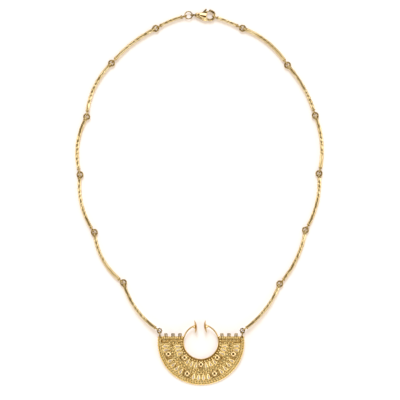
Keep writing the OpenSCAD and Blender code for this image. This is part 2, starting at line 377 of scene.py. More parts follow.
LEFT, RIGHT = -1, 1
STRAND = {LEFT: "left", RIGHT: "right"}
FIRST_RING = {LEFT: (JUMP_RING_R, JUMP_WIRE), RIGHT: (HOOK_R, HOOK_WIRE)}
FIRST_EYE = {LEFT: (STAND_R, STAND_WIRE), RIGHT: (HOOK_EYE_R, HOOK_EYE_WIRE)}
FIRST_Z = {LEFT: STAND_Z, RIGHT: HOOK_EYE_R + HOOK_EYE_WIRE / 2}
JOINTS_MM = {
    LEFT: [
        (-6.0, 95.8, 0.6), (-23.2, 88.9, 1.4), (-46.4, 70.6, 2.6), (-59.4, 42.6, 2.8),
        (-62.9, 12.2, 2.7), (-55.4, -18.0, 2.9), (-40.1, -44.4, 2.7),
    ],
    RIGHT: [
        (5.2, 95.7, 0.3), (22.3, 89.0, 2.4), (45.9, 69.6, 1.6), (60.4, 43.2, 2.2),
        (62.4, 12.8, 2.2), (55.3, -16.8, 2.0), (41.8, -45.0, 2.2),
    ],
}
BARS = len(JOINTS_MM[LEFT])

DISC_R, RIM_WIRE = mm(22.9, 1.2)
RIM_R = DISC_R - RIM_WIRE / 2
DISH_R = 3.35 * MM
LEFT_DISH, RIGHT_DISH = Vector((-3.1, 8.15)) * MM, Vector((2.6, 8.25)) * MM
EAR_AT = Vector((21.7, 6.05)) * MM
EAR_R, EAR_WIRE = mm(1.1, 0.84)
LEAN = asin((DISH_R - RIM_WIRE / 2) / (LEFT_DISH.y + RIM_R))
PENDANT_AT = Vector((0.5 * MM, -75.4 * MM, RIM_R * sin(LEAN) + RIM_WIRE / 2))


def joint(side, i):
    if i < BARS:
        return Vector(JOINTS_MM[side][i][:2]) * MM
    return Vector((PENDANT_AT.x + side * EAR_AT.x, PENDANT_AT.y + EAR_AT.y * cos(LEAN)))


def linked(ring_r, ring_wire, eye_r, eye_wire):
    """How far an eye's middle lies from the middle of the ring that it pulls on."""
    return ring_r + eye_r - (ring_wire + eye_wire) / 2 - PLAY


def bar_ends(side, i):
    """Where bar i of a strand starts and ends, eye middle to eye middle, and its bow."""
    bow = JOINTS_MM[side][i][2] * MM
    line = joint(side, i + 1) - joint(side, i)
    swing = side * 2 * atan(2 * bow / line.length)
    leaving = Matrix.Rotation(swing, 2) @ line.normalized()
    reaching = Matrix.Rotation(-swing, 2) @ line.normalized()
    start, start_z = joint(side, i), FLAT_Z
    if i == 0:
        start = start + leaving * linked(*FIRST_RING[side], *FIRST_EYE[side])
        start_z = FIRST_Z[side]
    ring = (EAR_R, EAR_WIRE) if i == BARS - 1 else (FLAT_R, FLAT_WIRE)
    end = joint(side, i + 1) - reaching * linked(*ring, STAND_R, STAND_WIRE)
    end_z = STAND_Z
    if i == BARS - 1:
        over_ear = joint(side, BARS).y - EAR_R * reaching.y - PENDANT_AT.y
        end_z = PENDANT_AT.z + over_ear * tan(LEAN)
    if i > 0:
        start_z += FLAT_R * (end_z - FLAT_Z) / line.length
    return Vector((*start, start_z)), Vector((*end, end_z)), bow


loop_mm = sum((bar_ends(s, i)[1] - bar_ends(s, i)[0]).length for s in STRAND for i in range(BARS)) / MM
print("bars along both strands", round(loop_mm), "mm")

# %% [markdown]
# ## A twisted bar
#
# Each bar began as square wire. The maker softened its edges, twisted it slowly, dressed it with a
# hammer and drew its ends down to a thinner wire for the eyes. The twist is what makes the chain
# glitter: a face turned up mirrors the dark above it, and a quarter turn further an edge is up and
# both faces mirror the bright sides of the room.
#
# The same order works here. A cylinder of four sides is bevelled and divided into rings. A few
# soft blows turn and flatten it in places, with proportional editing. One Simple Deform twists it,
# its end faces are extruded to the thin necks, and a second Simple Deform bends it to its bow.

# %% Twisting a square wire
SQUARE_TO_ROUND = 0.94
SOFT_EDGE = 0.27
RING_STEP = 0.42 * MM
QUARTER_TWIST = 2.3 * MM
TWISTED_SHARE = (0.4, 0.65)
BLOW_TURN, BLOW_FLAT, BLOW_STEP_MM = (-0.6, 0.6), (0.84, 1.06), (1.8, 3.4)
BLOW_REACH, UNTOUCHED, FLAT_AND_WIDE = 1.4 * MM, 2 * MM, 1.92
NECK_SHAPE = ((0.35, 0.88), (0.7, 0.66))


def lengthwise(edge):
    return abs(edge.verts[0].co.x - edge.verts[1].co.x) > NECK


def square_wire(length, thick):
    """A straight square wire along X with softened edges, divided into rings."""
    wire = fresh(
        bpy.ops.mesh.primitive_cylinder_add, vertices=4, depth=length,
        radius=SQUARE_TO_ROUND * thick / sqrt(2), rotation=(0, QUARTER, 0),
    )
    with editing(wire):
        pick(lengthwise, "EDGE")
        bpy.ops.mesh.bevel(offset=SOFT_EDGE * thick, segments=3, profile=0.5)
        pick(lengthwise, "EDGE")
        bpy.ops.mesh.subdivide(number_cuts=round(length / RING_STEP))
    return wire


def hammered(wire, length, chance):
    """Soft blows along the wire: each turns and flattens it a little where it lands."""
    soft = {
        "use_proportional_edit": True,
        "proportional_edit_falloff": "SMOOTH",
        "proportional_size": BLOW_REACH,
    }
    blow = -length / 2 + UNTOUCHED
    with editing(wire):
        while blow < length / 2 - UNTOUCHED:
            pick(lambda vert: abs(vert.co.x - blow) < 0.6 * RING_STEP)
            soft["center_override"] = (blow, 0, 0)
            bpy.ops.transform.rotate(value=chance.uniform(*BLOW_TURN), orient_axis="X", **soft)
            flat = chance.uniform(*BLOW_FLAT)
            bpy.ops.transform.resize(value=(1, flat, FLAT_AND_WIDE - flat), **soft)
            blow += chance.uniform(*BLOW_STEP_MM) * MM
    return wire


def drawn_down(tip, end, thick, thin):
    """Extrudes the wire's end face at x = tip to a neck that narrows to the eye's wire."""
    pick(lambda face: abs(face.calc_center_median().x - tip) < 0.01 * MM, "FACE")
    so_far, width = 0.0, 1.0
    for along, narrower in (*NECK_SHAPE, (1.0, thin / thick)):
        draw((end * (along - so_far) * NECK, 0, 0))
        share = narrower / width
        stretch((1, share, share), (tip + end * along * NECK, 0, 0))
        so_far, width = along, narrower


def shank(length, thick, start_wire, end_wire, chance):
    """The straight wire between two eyes, with its necks and what is wound round them."""
    straight = length - 2 * NECK
    wire = hammered(square_wire(straight, thick), straight, chance)
    placed(wire, turn(chance.uniform(0, pi), "X"))
    share = chance.uniform(*TWISTED_SHARE)
    begins = chance.uniform(0, 1 - share)
    twisted(wire, straight * share / QUARTER_TWIST * QUARTER, (begins, begins + share))
    with editing(wire):
        drawn_down(-straight / 2, -1, thick, start_wire)
        drawn_down(straight / 2, 1, thick, end_wire)
    turns = wraps(-length / 2, -1, start_wire) + wraps(length / 2, 1, end_wire)
    return join([wire, *turns], "shank")


# %% [markdown]
# ## The eyes
#
# The drawn-down wire is bent round to a loop, and its end closes against the neck. Spinning a small
# circle of edges makes the round part of the loop, and extruding the two open ends along the wire
# makes the legs. The joints look like dark little knots, because fine wire is wound round each neck
# and lies in each flat eye, and the torch has left its brown skin on them.

# %% Bending an eye
LEG_ANGLE, LEG_CLOSE = radians(50), 0.2 * MM
WRAP_WIRE, EYE_COIL_R = mm(0.44, 0.52)
WRAPS_MM = ((0.26, 0.36), (0.66, 0.34), (1.06, 0.24))
EYE_COILS_MM = (0.3, 0.68, 1.06, 1.44)


def wire_end(sides, wire, place, facing):
    """The circle of edges that a round wire is drawn from."""
    return fresh(
        bpy.ops.mesh.primitive_circle_add,
        vertices=sides, radius=wire / 2, location=place, rotation=facing,
    )


def wire_ring(r, wire, start=0, sweep=FULL_TURN, steps=64, sides=16):
    """A spun wire round the origin, from the angle start counterclockwise, capped if open."""
    ring = wire_end(sides, wire, (r * cos(start), r * sin(start), 0), (QUARTER, 0, start))
    with editing(ring):
        spin(steps, -sweep)
        if sweep < FULL_TURN:
            closed_ends()
    return tidy_mesh(ring, 60)


def coil(r, wire, along):
    """One turn of fine wire round X."""
    ring = wire_ring(r, wire, steps=18, sides=8)
    ring.rotation_euler.y = QUARTER
    ring.location.x = along
    return settle(ring)


def wraps(tip, end, wire):
    """Three turns of fine wire round a neck and the eye's legs, where they meet."""
    return [
        flamed(coil(spare * MM + wire / 2, WRAP_WIRE, tip - end * back * MM))
        for back, spare in WRAPS_MM
    ]


def wound_end():
    """The wire's own end, wound to small turns that fill the eye toward the neck."""
    turns = [coil(EYE_COIL_R, WRAP_WIRE, out * MM) for out in EYE_COILS_MM]
    return flamed(join(turns, "wound_end"), lambda co: 0.5)


def eye(r, wire):
    """An eye round the origin, whose legs run along +X to the bar's neck."""
    leg = (r * sin(LEG_ANGLE) - LEG_CLOSE) / cos(LEG_ANGLE)
    along = Vector((sin(LEG_ANGLE), cos(LEG_ANGLE), 0)) * leg
    open_end = Vector((cos(LEG_ANGLE), sin(LEG_ANGLE), 0)) * r
    start = (r * cos(LEG_ANGLE), r * sin(LEG_ANGLE), 0)
    loop = wire_end(14, wire, start, (QUARTER, 0, LEG_ANGLE))
    with editing(loop):
        spin(30, 2 * LEG_ANGLE - FULL_TURN)
        draw(along)
        pick(lambda vert: (vert.co - open_end).length < wire / 2 + 0.001 * MM)
        draw((along.x, -along.y, 0))
        closed_ends()
    return tidy_mesh(loop)


# %% [markdown]
# ## Bars at their places
#
# A bar bows by a few millimetres, and its eyes stand square to the bow's ends. All of it is built
# in the bar's own frame, with the chord along X. Then one matrix lays it on the table: a slight
# rise, the heading of the chord, and on the left strand a mirror, so that both strands bow outward.

# %% Assembling one bar
def lay_bar(side, i, chance):
    start, end, bow = bar_ends(side, i)
    chord = (end - start).length
    bend_r = (chord * chord / 4 + bow * bow) / (2 * bow)
    half = asin(chord / 2 / bend_r)
    short = i == 0
    start_r, start_wire = FIRST_EYE[side] if short else (FLAT_R, FLAT_WIRE)
    length = 2 * half * bend_r - start_r - STAND_R
    thick = SHORT_BAR if short else BAR
    middle = bent(shank(length, thick, start_wire, STAND_WIRE, chance), -length / bend_r)
    start_eye = flamed(eye(start_r, start_wire))
    if not short:
        start_eye = join([start_eye, wound_end()], "start_eye")
    end_eye = flamed(eye(STAND_R, STAND_WIRE))

    centre, on_bow = shift(chord / 2, bow - bend_r), shift(0, bend_r)
    upright = turn(QUARTER, "X")
    middle.matrix_world = centre @ turn((STAND_R - start_r) / 2 / bend_r) @ on_bow
    start_eye.matrix_world = centre @ turn(half) @ on_bow
    if short:
        start_eye.matrix_world = start_eye.matrix_world @ upright
    end_eye.matrix_world = centre @ turn(-half) @ on_bow @ turn(pi) @ upright
    bar = join([settle(part) for part in (middle, start_eye, end_eye)], "bar")

    along = end - start
    rise = turn(-asin(along.z / chord), "Y")
    bow_side = Matrix.Diagonal((1, -1 if side == LEFT else 1, 1, 1))
    bar.matrix_world = shift(*start) @ turn(atan2(along.y, along.x)) @ rise @ bow_side
    return tidy_mesh(settle(bar), 32)


# %% [markdown]
# ## Gold, four ways
#
# Gold is a metal, so nearly all of its look is what it mirrors, tinted by its own colour. What
# sets the finishes apart is how rough they are and what the surface does to the light. The bars
# are dressed with a hammer and wiped bright. The hoop, the studs and the clasp are polished. The
# pendant's wires have a satin skin from the solder flux, and its ground stays matt and redder,
# because no buff reaches between the wires; it is also darker, partly as painted shade between the
# wires. The hammered, polished and satin finishes paint upright flanks darker, as painted shade.

# %% The finishes
# Bright gold with soft dents, fine wipe marks and a tone that changes at random, brown skin at the
# joints, and upright flanks darker as painted shade.
gold = Finish("hammered gold", (0.86, 0.69, 0.40), 0.28)
dents = gold.noise(1.3 * MM, 1.0)
grain = gold.noise(0.12 * MM, 3.0)
tone = gold.noise(3.5 * MM, 2.0).between(0.38, 0.62)
wiped = gold.mixed(tone, (0.74, 0.58, 0.30), (0.86, 0.71, 0.42))
wiped = gold.mixed(gold.flame_skin(), wiped, (0.27, 0.165, 0.035))
gold.shaded(0.3, 0.95, wiped, (0.56, 0.42, 0.19))
gold.feed("Roughness", 0.24 + grain * 0.18)
gold.bump(dents + grain * 0.05, 0.2 * MM)
HAMMERED = gold.material

# Mirror gold with the faintest ripple and a few haze marks. Its near-black is brown skin at the clasp's
# tail, painted shade and painted dark reflections on the hook, the lower flank, the jump ring, the crown
# and the ears, and darkens the lever all over. Upright flanks are darker as painted shade.
gold = Finish("polished gold", (0.92, 0.69, 0.34), 0.09)
ripple = gold.noise(1.6 * MM, 1.0)
haze = gold.noise(0.25 * MM, 3.0).between(0.45, 0.8)
wiped = gold.mixed(gold.flame_skin(), (0.86, 0.65, 0.34), (0.06, 0.038, 0.003))
gold.shaded(0.3, 0.9, wiped, (0.46, 0.30, 0.11))
gold.feed("Roughness", 0.07 + haze * 0.1)
gold.bump(ripple, 0.03 * MM)
POLISHED = gold.material

# The skin of soldered filigree: soft gloss, with small patches that are brighter and redder, the
# brighter ones partly painted highlights. Upright flanks are darker as painted shade.
gold = Finish("satin gold", (0.90, 0.66, 0.30), 0.25)
patch = gold.noise(1.1 * MM, 2.0).between(0.35, 0.65)
grain = gold.noise(0.1 * MM, 2.0)
wiped = gold.mixed(patch, (0.98, 0.73, 0.29), (1.0, 0.84, 0.42))
gold.shaded(0.35, 0.95, wiped, (0.50, 0.30, 0.07))
gold.feed("Roughness", 0.16 + grain * 0.2)
gold.bump(grain, 0.02 * MM)
WIRES = gold.material

# Sheet gold as it left the pickle: matt and redder, with a fine tooth. It is also darker, partly as
# painted shade between the wires.
gold = Finish("matt ground", (0.85, 0.62, 0.27), 0.5)
cloud = gold.noise(1.3 * MM, 3.0).between(0.3, 0.7)
tooth = gold.noise(0.16 * MM, 4.0)
gold.feed("Base Color", gold.mixed(cloud, (0.32, 0.16, 0.025), (0.54, 0.32, 0.08)))
gold.feed("Roughness", 0.36 + tooth * 0.3)
gold.bump(tooth, 0.1 * MM)
GROUND = gold.material

# %% Laying both strands
chance = random.Random(12)
for side in (LEFT, RIGHT):
    for i in range(BARS):
        node = f"bar_{STRAND[side]}_{i + 1}"
        finish(lay_bar(side, i, chance), "twisted_" + node, HAMMERED, [node])

# %% [markdown]
# ## The clasp's body
#
# A lobster clasp is cast: a body whose flanks slope like a low roof, and a hook that grows out of
# it. Low wide rods give the outline and slim tall ones the ridge, and the hull of them all is the
# roof. The slot for the lever and the hook's hole are cut out of it, and the hook and the tail eye
# are added. A voxel remesh then fuses all of it, as the casting does, and a smooth rounds every
# edge by some hundredths of a millimetre, as tumbling does. The tail keeps a brown skin. The hook's
# outer bend toward its tip is darkened as a painted dark reflection, the lower flank a little as
# painted shade, and the lever is darkened all over.

# %% Hulls and cutters
CLASP_AT = Vector((-3.8 * MM, 95.9 * MM, STAND_Z))
OUTLINE_T, RIDGE_T, RIDGE_SHARE = 0.9 * MM, 2.76 * MM, 0.2
CHEEK_TAIL, CHEEK_TAIL_R = Vector((2.3, 0)) * MM, 1.25 * MM
CHEEK_FRONT, CHEEK_FRONT_R = Vector((6.6, -0.95)) * MM, 2.3 * MM
HOOK_AT = Vector((9, -0.2)) * MM
HOOK_FROM, HOOK_TIP = radians(-140), radians(86)
RIVET_AT, RIVET_R = Vector((3.2, 0.25)) * MM, 0.35 * MM
LEVER_SLOT, LEVER_BOSS_R = mm(1.2, 0.8)
CAST_SKIN, CAST_KEPT = 0.065 * MM, 0.5


def rod(place, radius, depth, sides=32):
    """An upright rod through z = 0, ready to be hulled or cut with."""
    return fresh(
        bpy.ops.mesh.primitive_cylinder_add,
        vertices=sides, radius=radius, depth=depth, location=(*place, 0),
    )


def hull(pieces):
    """One convex piece round all of these."""
    piece = join(pieces, "hull")
    with editing(piece):
        bpy.ops.mesh.convex_hull()
    return piece


def cut(piece, *cutters):
    """Takes the cutters out of the piece, one after the other, and uses them up."""
    for cutter in cutters:
        modify(piece, "BOOLEAN", operation="DIFFERENCE", solver="EXACT", object=cutter)
        bpy.data.objects.remove(cutter)
    return piece


def turned(profile, steps=32):
    """A solid of rings with these radii at these heights along Z, closed at both ends."""
    radius, height = profile[0]
    piece = fresh(
        bpy.ops.mesh.primitive_circle_add,
        vertices=steps, radius=radius, location=(0, 0, height), fill_type="NGON",
    )
    with editing(piece):
        for next_radius, next_height in profile[1:]:
            draw((0, 0, next_height - height))
            share = next_radius / radius
            stretch((share, share, 1), (0, 0, next_height))
            radius, height = next_radius, next_height
    return piece


def ridged(start, start_r, end, end_r, low, high):
    """A bar between two places whose faces rise to a ridge along its middle."""
    return hull([
        rod(start, start_r, low), rod(end, end_r, low),
        rod(start, RIDGE_SHARE * start_r, high), rod(end, RIDGE_SHARE * end_r, high),
    ])


def tumbled(piece, passes):
    """Fuses a rough casting to one skin and rounds its edges."""
    modify(piece, "REMESH", mode="VOXEL", voxel_size=CAST_SKIN)
    modify(piece, "SMOOTH", factor=0.5, iterations=passes)
    modify(piece, "DECIMATE", ratio=CAST_KEPT)
    return tidy_mesh(piece, 75)


# %% Casting the body
# The neck's ends: how far along, how wide and how deep. The wraps: how far along, and how wide.
TAIL_NECK_MM, TAIL_WRAPS_MM = ((1.4, 0.4, 0.8), (2.2, 0.95, 1.8)), ((1.35, 0.5), (1.7, 0.62))
TAIL_WIRE = 0.5 * MM
SLOT_CORNERS_MM = [(2.7, 1.05), (3.3, -0.7), (8, -1), (8, 4), (3.2, 4)]
RIVET_HEAD_MM = [(0.2, 1.0), (0.42, 1.18), (0.44, 1.28), (0.38, 1.36), (0.22, 1.41), (0.04, 1.42)]


def lever_room():
    """The slot in which the lever swings, open toward +Y."""
    corners = [Vector(corner) * MM for corner in SLOT_CORNERS_MM]
    return hull([rod(corner, 0.02 * MM, LEVER_SLOT, 6) for corner in corners])


def hook():
    """The bent wire that ends in a ball."""
    wire = wire_ring(HOOK_R, HOOK_WIRE, HOOK_FROM, HOOK_TIP - HOOK_FROM)
    tip = HOOK_R * Vector((cos(HOOK_TIP), sin(HOOK_TIP)))
    ball = fresh(
        bpy.ops.mesh.primitive_uv_sphere_add, radius=HOOK_WIRE / 2 + 0.06 * MM, location=(*tip, 0)
    )
    return placed(join([wire, ball], "hook"), shift(*HOOK_AT))


def tail():
    """The standing eye at the tail and the neck with two turns of wire on it."""
    standing = placed(eye(STAND_R, STAND_WIRE), turn(QUARTER, "X"))
    neck = hull([rod((along, 0), r, depth) for along, r, depth in (mm(*end) for end in TAIL_NECK_MM)])
    turns = [coil(r * MM, TAIL_WIRE, along * MM) for along, r in TAIL_WRAPS_MM]
    return join([standing, neck, *turns], "tail")


def rivet_heads():
    """The rivet's two low heads, turned and laid on the flanks."""
    up = turned([(r * MM, z * MM) for r, z in RIVET_HEAD_MM], steps=24)
    return stamped(up, [shift(*RIVET_AT), shift(*RIVET_AT) @ turn(pi, "X")])


def burnt(co):
    """Brown skin at the tail, a painted dark reflection on the hook's outer bend toward its tip, and a
    little painted shade on the lower flank.
    """
    tail_end = (CHEEK_TAIL.x - co.x) / (0.5 * MM)
    nose = (co.y - HOOK_AT.y) / (1.2 * MM) if co.x > HOOK_AT.x - 0.9 * MM else 0
    lower_flank = min(0.5, (-0.5 * MM - co.y) / (1.6 * MM))
    return max(tail_end, nose, lower_flank)


def cast_body():
    cheeks = cut(
        ridged(CHEEK_TAIL, CHEEK_TAIL_R, CHEEK_FRONT, CHEEK_FRONT_R, OUTLINE_T, RIDGE_T),
        rod(HOOK_AT, HOOK_R - HOOK_WIRE / 2 + 0.1 * MM, 2 * RIDGE_T, 48),
        lever_room(),
        rod(RIVET_AT, LEVER_BOSS_R + 0.15 * MM, LEVER_SLOT),
    )
    body = flamed(tumbled(join([cheeks, hook(), tail()], "cast"), 34), burnt)
    return placed(join([body, rivet_heads()], "cast"), shift(*CLASP_AT))


finish(cast_body(), "cast_clasp_body", POLISHED, ["clasp_body"])

# %% [markdown]
# ## The clasp's lever
#
# The lever turns on the rivet inside the slot and closes the hook. It is two ridged bars with the
# same outline as its solid: the arm from the rivet to the hook's tip, and the tab that a
# fingernail pulls. It is cast and tumbled like the body. It rides on its own body, because it
# swings.

# %% Casting the lever
LEVER_T, LEVER_OUTLINE_T = mm(1.0, 0.45)
LEVER_END, LEVER_END_R = Vector((7.95, 1.7)) * MM, 0.53 * MM
TAB_ROOT, TAB_ROOT_R = Vector((5.6, 1.3)) * MM, 0.5 * MM
TAB_END, TAB_R = Vector((6.9, 2.85)) * MM, 0.45 * MM


def cast_lever():
    arm = ridged(RIVET_AT, LEVER_BOSS_R, LEVER_END, LEVER_END_R, LEVER_OUTLINE_T, LEVER_T)
    tab = ridged(TAB_ROOT, TAB_ROOT_R, TAB_END, TAB_R, LEVER_OUTLINE_T, LEVER_T)
    lever = tumbled(join([arm, tab], "cast"), 12)
    cut(lever, rod(RIVET_AT, RIVET_R + 0.04 * MM, 2 * LEVER_T))
    # The lever is darkened all over.
    return flamed(tidy_mesh(placed(lever, shift(*CLASP_AT)), 60))


finish(cast_lever(), "cast_clasp_lever", POLISHED, ["clasp_lever"], "clasp_lever")

# %% [markdown]
# ## The jump ring
#
# A jump ring is cut from a coil of wire, closed and soldered. The join shows as a slight swelling.
# The wire is spun once round, and the points near the join are swollen with proportional editing.
# The join is turned to the side where no link pulls.

# %% Closing a jump ring
JOIN_ANGLE, SWELLING, SWELLING_REACH = radians(118), 1.1, 0.5 * MM
RING_AT = Vector((*JOINTS_MM[LEFT][0][:2], STAND_Z / MM - 0.1)) * MM


def jump_ring():
    ring = wire_ring(JUMP_RING_R, JUMP_WIRE)
    with editing(ring):
        pick(lambda vert: vert.co.x > 0 and abs(vert.co.y) < 0.05 * MM)
        stretch(
            (SWELLING, 1, SWELLING), (JUMP_RING_R, 0, 0), use_proportional_edit=True,
            proportional_edit_falloff="SHARP", proportional_size=SWELLING_REACH,
        )
    ring.matrix_world = shift(*RING_AT) @ turn(JOIN_ANGLE)
    ring = tidy_mesh(settle(ring), 60)
    # Darkened all round as painted shade and painted dark reflection, most where the clasp's tail goes
    # through.
    return flamed(ring, lambda co: 0.55 + 0.45 * (co.x - RING_AT.x) / JUMP_RING_R)


finish(jump_ring(), "soldered_jump_ring", POLISHED, ["jump_ring"])

# %% [markdown]
# ## The pendant's own frame
#
# The pendant is built lying flat, with the hoop's middle at the origin and the ears toward +Y, and
# the finished pieces are then leaned back and laid in place, because it rests on its rim and on the
# hoop's two end discs. Most of what it carries stands in circles round the hoop. So `at` gives a
# place by its distance from the hoop's middle and its angle from straight down, and what is copied
# there points outward.

# %% Places on the plate
TOP_Y, PLATE = mm(2.8, 0.9)
ON_PLATE = PLATE / 2
RAIL_Y, RAIL_ROPE = mm(-0.9, 0.7)
HOOP_R, HOOP_WIRE = mm(9.24, 0.85)
ON_NECKLACE = shift(*PENDANT_AT) @ turn(LEAN, "X")


def at(radius, angle, z=ON_PLATE):
    return turn(radians(angle - 90)) @ shift(radius, 0, z)


def both_sides(angles):
    return [side * angle for side in (LEFT, RIGHT) for angle in angles]


def mounted(pieces, name, material=WIRES, smooth_deg=80):
    """Joins what is soldered to the pendant, leans it back and hands it over."""
    piece = placed(join(pieces, name), ON_NECKLACE)
    return finish(tidy_mesh(piece, smooth_deg), name, material, ["pendant"])


# %% [markdown]
# ## The pierced plate
#
# The ground is a half disc of sheet, pierced with pear-shaped slots that let the light of the table
# through. The slots are cut with a boolean, as a saw would cut them: each cutter is the hull of a
# narrow rod and a wide one. A small bevel takes the sharpness off all the sawn edges. Each row of
# slots has its angles, the radii where a slot starts and ends, and its half width at the end.

# %% Sawing the plate
SHEET_R = RIM_R - 0.38 * MM
CUT_DEPTH = 3 * PLATE
SLOT_NARROW = 0.25 * MM
SLOT_ROWS = [
    ([4, 12, 34.5, 42.5, 50.5, 58.5, 77.4, 83.6], *mm(17.4, 19.35, 0.72)),
    ([12.25, 23.25, 34.25, 61.5, 70.8, 80], *mm(11.15, 13.2, 0.65)),
]


def kept_below(piece, place, way, **settings):
    """Cuts a piece off flat: what lies beyond the place in that way is gone."""
    with editing(piece):
        bpy.ops.mesh.bisect(
            plane_co=place, plane_no=way, use_fill=True, clear_outer=True, **settings
        )
    return piece


def slot_cutter(wide, reach):
    """The hull of two upright rods: the narrow one at the origin, the wide one out along X."""
    narrow_end = rod((0, 0), SLOT_NARROW, CUT_DEPTH, 20)
    return hull([narrow_end, rod((reach, 0), wide, CUT_DEPTH, 20)])


def plate():
    sheet = kept_below(rod((0, 0), SHEET_R, PLATE, 180), (0, TOP_Y, 0), (0, 1, 0))
    cut(sheet, rod((0, 0), HOOP_R, CUT_DEPTH, 120))
    for angles, near, far, wide in SLOT_ROWS:
        cut(sheet, stamped(slot_cutter(wide, far - near), [at(near, a, 0) for a in both_sides(angles)]))
    return modify(
        sheet, "BEVEL", width=0.06 * MM, segments=2, limit_method="ANGLE", angle_limit=radians(50)
    )


mounted([plate()], "pierced_plate", GROUND, smooth_deg=40)

# %% [markdown]
# ## Twisted and beaded wire
#
# Filigree is drawn with a few fancy wires. Rope is two round wires laid side by side and twisted.
# Beaded wire is a row of granules. Rope is made straight, twisted with one Simple Deform and bent
# round the plate with another, as on the bench, so its coils stay even. A granule is a small ball
# whose foot has sunk into the solder, so it is cut flat there. It has few faces, because more than
# a thousand are needed.

# %% Rope and granules
ROPE_SIDES, STEPS_A_LAY, STRAND_SHARE = 8, 10, 0.26
BALL_LIFT, FOOT_CUT = 0.3, 0.15


def strand(length, radius, steps):
    """A straight round wire along X, divided into this many steps."""
    wire = fresh(
        bpy.ops.mesh.primitive_cylinder_add, vertices=ROPE_SIDES, radius=radius,
        depth=length / steps, end_fill_type="NOTHING", rotation=(0, QUARTER, 0),
    )
    modify(wire, "ARRAY", count=steps, use_merge_vertices=True, merge_threshold=0.001 * MM)
    with editing(wire):
        closed_ends()
    return placed(wire, shift(length / steps / 2 - length / 2))


def rope(length, thick, lay):
    """Two wires along X, twisted together. A negative lay twists them the other way."""
    radius, steps = STRAND_SHARE * thick, round(abs(length / lay) * STEPS_A_LAY)
    apart = thick / 2 - radius
    strands = [placed(strand(length, radius, steps), shift(0, side * apart)) for side in (-1, 1)]
    return twisted(join(strands, "rope"), length / lay * FULL_TURN)


def bent_rope(r, sweep, thick, lay):
    """Rope round the origin, the middle of its length straight below it."""
    return placed(bent(rope(r * sweep, thick, lay), sweep), shift(0, -r))


def rope_round(r, thick, lay, end_y, z):
    """Rope along a circle of the plate, ending on both sides at the height end_y."""
    return placed(bent_rope(r, pi + 2 * asin(end_y / r), thick, lay), shift(0, 0, z))


def granules(radius, places):
    """Balls cut flat, one for each place where a granule stands."""
    ball = fresh(
        bpy.ops.mesh.primitive_uv_sphere_add,
        segments=8, ring_count=6, radius=radius, location=(0, 0, BALL_LIFT * radius),
    )
    kept_below(ball, (0, 0, -FOOT_CUT * radius), (0, 0, -1), threshold=0.001 * radius)
    return stamped(ball, places)


def along_circle(r, z, first, last, step):
    """Evenly spaced places on a circle, between two angles from straight down."""
    count = max(2, round(radians(last - first) * r / step))
    return [at(r, first + (last - first) * i / (count - 1), z) for i in range(count)]


# %% [markdown]
# ## The borders
#
# The rim is the thickest rope, and a second rope lies inside it with the opposite twist, so the two
# together read as a plait. Finer ropes edge the band of zigzags and close the border, and a row of
# granules follows the hoop.

# %% Ropes round the plate
BORDER_LAY, FINE_LAY = mm(2.9, 2.7)
BORDER_MID, BORDER_MID_WIRE = mm(21.38, 0.95)
BORDER_IN, BAND_OUT, BAND_IN, FINE_ROPE = mm(20.5, 16.5, 14.3, 0.82)
INNER_EDGE, INNER_BEAD = mm(10.2, 0.5)

mounted(
    [
        rope_round(RIM_R, RIM_WIRE, BORDER_LAY, TOP_Y, 0),
        rope_round(BORDER_MID, BORDER_MID_WIRE, -BORDER_LAY, TOP_Y - 0.4 * MM, ON_PLATE),
        rope_round(BORDER_IN, FINE_ROPE, FINE_LAY, RAIL_Y, ON_PLATE),
        rope_round(BAND_OUT, FINE_ROPE, FINE_LAY, RAIL_Y, ON_PLATE),
        rope_round(BAND_IN, FINE_ROPE, -FINE_LAY, RAIL_Y, ON_PLATE),
    ],
    "rope_borders",
)
to_top = 90 + degrees(asin((TOP_Y - 0.5 * MM) / INNER_EDGE))
bead_places = along_circle(INNER_EDGE, ON_PLATE, -to_top, to_top, 2.6 * INNER_BEAD)
mounted([granules(INNER_BEAD, bead_places)], "beads_round_hoop")

# %% [markdown]
# ## Studs
#
# Seven hollow domes stand on the plate, each on a small matt collar with a ring of granules round
# its foot. Dome and collar are pieces of turning, so they are made as on a lathe: a disc is
# extruded ring by ring, and each new ring is scaled to its radius. Copies are placed by angle.

# %% Turning the studs
INNER_STUDS, OUTER_STUDS, STUD_STEP = 11.8 * MM, 18.1 * MM, 46.5
STUD_R, COLLAR_R, COLLAR_H = mm(1.35, 1.85, 0.35)
STUD_WALL, DOME_TILTS = 0.6 * MM, (50, 47, 43, 39, 35, 31, 27, 23)
CROWN = ((0.9, 0.018), (0.7, 0.038), (0.45, 0.052), (0.2, 0.058), (0.02, 0.06))
RING_BEAD, RING_BEADS = 0.21 * MM, 24
STUD_PLACES = [(INNER_STUDS, i * STUD_STEP) for i in (-1, 0, 1)]
STUD_PLACES += [(OUTER_STUDS, i * STUD_STEP) for i in (-1.5, -0.5, 0.5, 1.5)]


def dome():
    """A low dome on a short wall, its crown dressed a little flatter than a ball."""
    edge_tilt = radians(DOME_TILTS[0])
    dome_r = STUD_R / sin(edge_tilt)
    middle_z = STUD_WALL - dome_r * cos(edge_tilt)
    profile = [(0.95 * STUD_R, 0.1 * MM), (0.98 * STUD_R, 0.7 * STUD_WALL)]
    for a in map(radians, DOME_TILTS):
        profile.append((dome_r * sin(a), middle_z + dome_r * cos(a)))
    crown_r, crown_z = profile[-1]
    return turned(profile + [(share * crown_r, crown_z + rise * STUD_R) for share, rise in CROWN])


def collar():
    """A low collar, turned out to a groove where the dome stands."""
    return turned([
        (COLLAR_R, -0.1 * MM), (COLLAR_R, 0.7 * COLLAR_H), (0.96 * COLLAR_R, COLLAR_H),
        (0.84 * COLLAR_R, COLLAR_H), (0.76 * COLLAR_R, 0.4 * COLLAR_H),
    ])


stud_places = [at(r, a) for r, a in STUD_PLACES]
